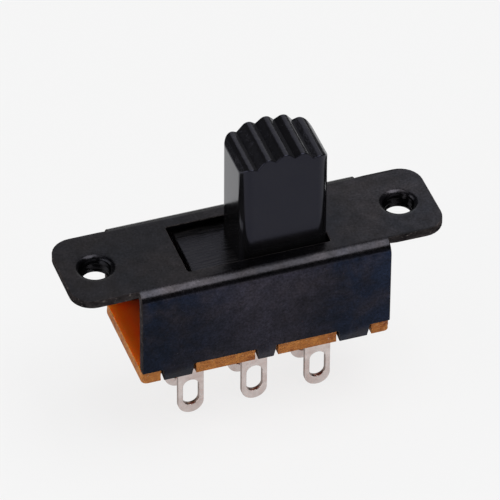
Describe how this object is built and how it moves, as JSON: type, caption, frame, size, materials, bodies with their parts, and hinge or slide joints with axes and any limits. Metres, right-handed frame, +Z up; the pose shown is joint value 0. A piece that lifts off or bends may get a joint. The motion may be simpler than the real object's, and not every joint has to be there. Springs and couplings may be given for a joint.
{
  "type": "slide switch",
  "caption": "Panel slide switch: ribbed black knob in a slotted folded-steel frame with screw ears, on a laminate base with solder lugs.",
  "frame": {"origin": "centre of the screw pattern on the panel face of the flange", "axes": "+X along the travel and the length of the flange, +Y across to the rear skirt, +Z up out of the panel face through the knob"},
  "size_m": [0.035, 0.011, 0.0283],
  "materials": {
    "black_oxide_steel": "satin black oxide",
    "phenolic_laminate": "satin laminate with rough cut edges",
    "black_moulding": "glossy moulded",
    "tinned_brass": "dull tin plate",
    "contact_brass": "stamped",
    "spring_wire": "drawn wire"
  },
  "bodies": {
    "housing": {"frame": "black_oxide_steel", "base_plate": "phenolic_laminate", "terminal_front_left": "tinned_brass", "terminal_front_middle": "tinned_brass", "terminal_front_right": "tinned_brass", "terminal_rear_left": "tinned_brass", "terminal_rear_middle": "tinned_brass", "terminal_rear_right": "tinned_brass"},
    "slider": {"slider": "black_moulding", "bridge_front": "contact_brass", "bridge_rear": "contact_brass", "spring_front": "spring_wire", "spring_rear": "spring_wire"}
  },
  "joints": [
    {"name": "slider_travel", "type": "slide", "parent": "housing", "child": "slider", "axis": [1, 0, 0], "range_m": [-0.00508, 0]}
  ]
}
